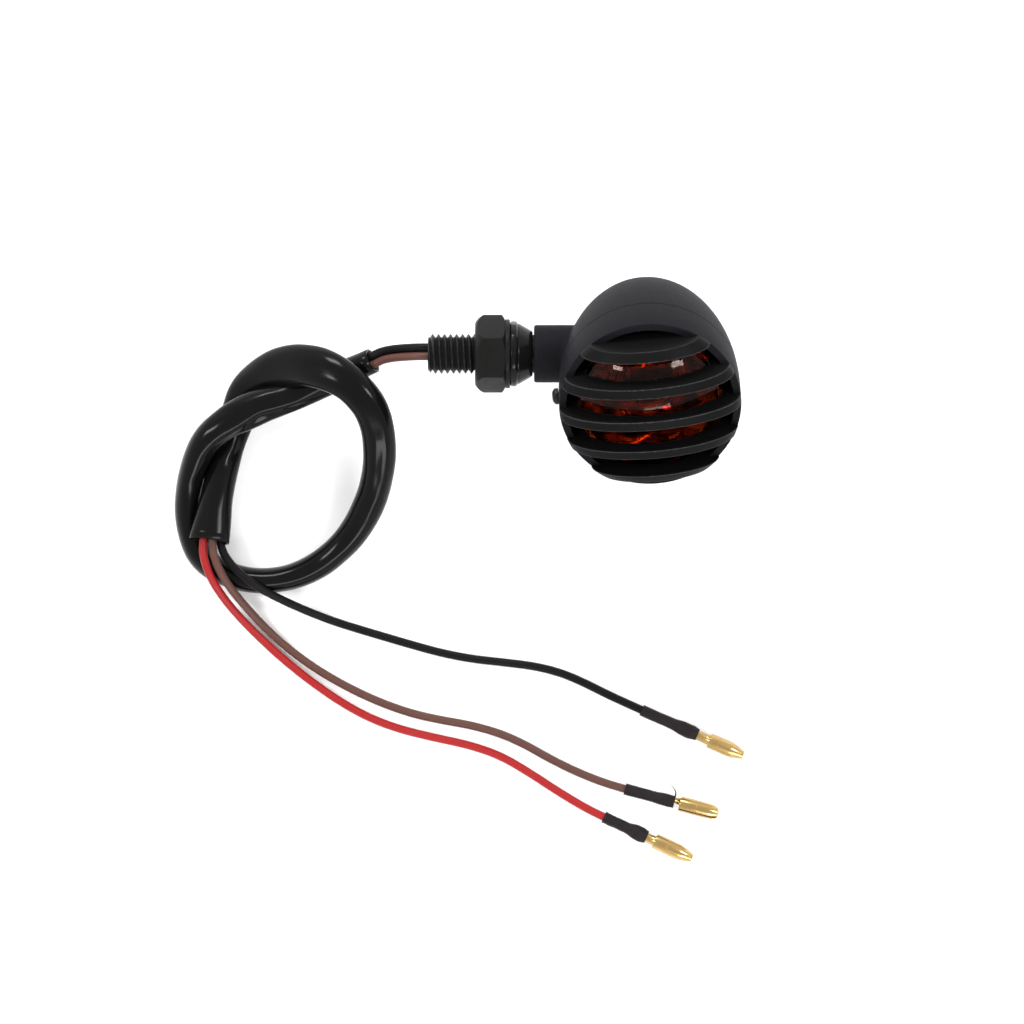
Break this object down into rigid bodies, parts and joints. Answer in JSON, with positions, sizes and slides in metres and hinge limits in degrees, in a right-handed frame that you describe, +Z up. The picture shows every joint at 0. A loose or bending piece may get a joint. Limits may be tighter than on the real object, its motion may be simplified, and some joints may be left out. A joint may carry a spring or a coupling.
{
  "type": "turn signal indicator",
  "caption": "Small matte-black bullet turn signal with a louvred grille over a smoked amber lens, on a hollow M10 stem with sleeved leads to bullet terminals.",
  "frame": {"origin": "centre of the hollow stem's free threaded end, on the stem's axis, 22.5 mm above the surface that the lamp lies on", "axes": "+X along the stem from its free end to the lamp head, +Z up from the surface, +Y away from the lens: the lamp's optical axis leans from +Z by 30 degrees to -Y"},
  "size_m": [0.1464, 0.148, 0.0602],
  "materials": {
    "black_steel": "black oxide, satin",
    "gloss_collar": "gloss black",
    "matte_shell": "fine-grained matte black paint",
    "spring_steel": "bright spring steel",
    "nbr_rubber": "matte rubber",
    "smoked_amber": "smoked amber, clear gloss",
    "reflector_metal": "vacuum metallised",
    "holder_steel": "zinc plated",
    "paper_laminate": "phenolic laminate",
    "bulb_glass": "amber glass",
    "nickel_brass": "drawn brass",
    "solder": "solder dome",
    "filament": "tungsten",
    "sleeve_vinyl": "glossy black vinyl",
    "wire_black": "satin vinyl insulation",
    "wire_brown": "satin vinyl insulation",
    "wire_red": "satin vinyl insulation",
    "shrink_tube": "satin heat-shrink",
    "gold_brass": "bright brass"
  },
  "bodies": {
    "stem": {"stem_bolt": "black_steel", "cone_collar": "gloss_collar", "friction_washer": "spring_steel", "stem_circlip": "spring_steel", "cable_sleeve": "sleeve_vinyl", "stem_wire_black": "wire_black", "stem_wire_brown": "wire_brown", "stem_wire_red": "wire_red", "lead_black": "wire_black", "lead_brown": "wire_brown", "lead_red": "wire_red", "heat_shrink_black": "shrink_tube", "heat_shrink_brown": "shrink_tube", "heat_shrink_red": "shrink_tube", "bullet_terminal_black": "gold_brass", "bullet_terminal_brown": "gold_brass", "bullet_terminal_red": "gold_brass"},
    "washer": {"mounting_washer": "black_steel"},
    "nut": {"mounting_nut": "black_steel"},
    "head": {"housing": "matte_shell", "grille_cover": "matte_shell", "lens": "smoked_amber", "lens_gasket": "nbr_rubber", "reflector": "reflector_metal", "stem_seal": "nbr_rubber", "bulb_holder": "holder_steel", "terminal_block": "paper_laminate", "contact_spring": "spring_steel", "lamp_wire_black": "wire_black", "lamp_wire_brown": "wire_brown", "lamp_wire_red": "wire_red"},
    "screw_washer": {"cover_screw_washer": "black_steel"},
    "screw": {"cover_screw": "black_steel"},
    "contacts": {"contact_plate": "paper_laminate", "contact_studs": "nickel_brass"},
    "bulb": {"bulb_base": "nickel_brass", "bulb_glass": "bulb_glass", "bulb_glass_foot": "bulb_glass", "bulb_filaments": "filament", "bulb_insulator": "paper_laminate", "bulb_contacts": "solder"}
  },
  "joints": [
    {"name": "head_swivel", "type": "hinge", "parent": "stem", "child": "head", "pos_m": [0.0265, 0, 0], "axis": [1, 0, 0], "range_deg": [-90, 90]},
    {"name": "nut_travel", "type": "slide", "parent": "stem", "child": "washer", "axis": [-1, 0, 0], "range_m": [0, 0.0105]},
    {"name": "nut_spin", "type": "hinge", "parent": "washer", "child": "nut", "pos_m": [0.015, 0, 0], "axis": [-1, 0, 0], "range_deg": [0, 2520]},
    {"name": "screw_travel", "type": "slide", "parent": "head", "child": "screw_washer", "axis": [-0.9957, -0.08, -0.0462], "range_m": [0, 0.0018]},
    {"name": "screw_spin", "type": "hinge", "parent": "screw_washer", "child": "screw", "pos_m": [0.03289, -0.01092, 0.01483], "axis": [-0.9957, -0.08, -0.0462], "range_deg": [0, 1440]},
    {"name": "contact_push", "type": "slide", "parent": "head", "child": "contacts", "axis": [0, 0.5, -0.866], "range_m": [0, 0.0015], "stiffness_N_per_m": 2000, "springref_m": -0.0006, "deforming": ["contact_spring"]},
    {"name": "bulb_twist", "type": "hinge", "parent": "contacts", "child": "bulb", "pos_m": [0.0549, -0.0033, 0.00572], "axis": [0, -0.5, 0.866], "range_deg": [-22, 0]}
  ],
  "couplings": [
    {"joint": "nut_spin", "follows": "nut_travel", "rad_per_m": 4188.8},
    {"joint": "screw_spin", "follows": "screw_travel", "rad_per_m": 13963}
  ]
}
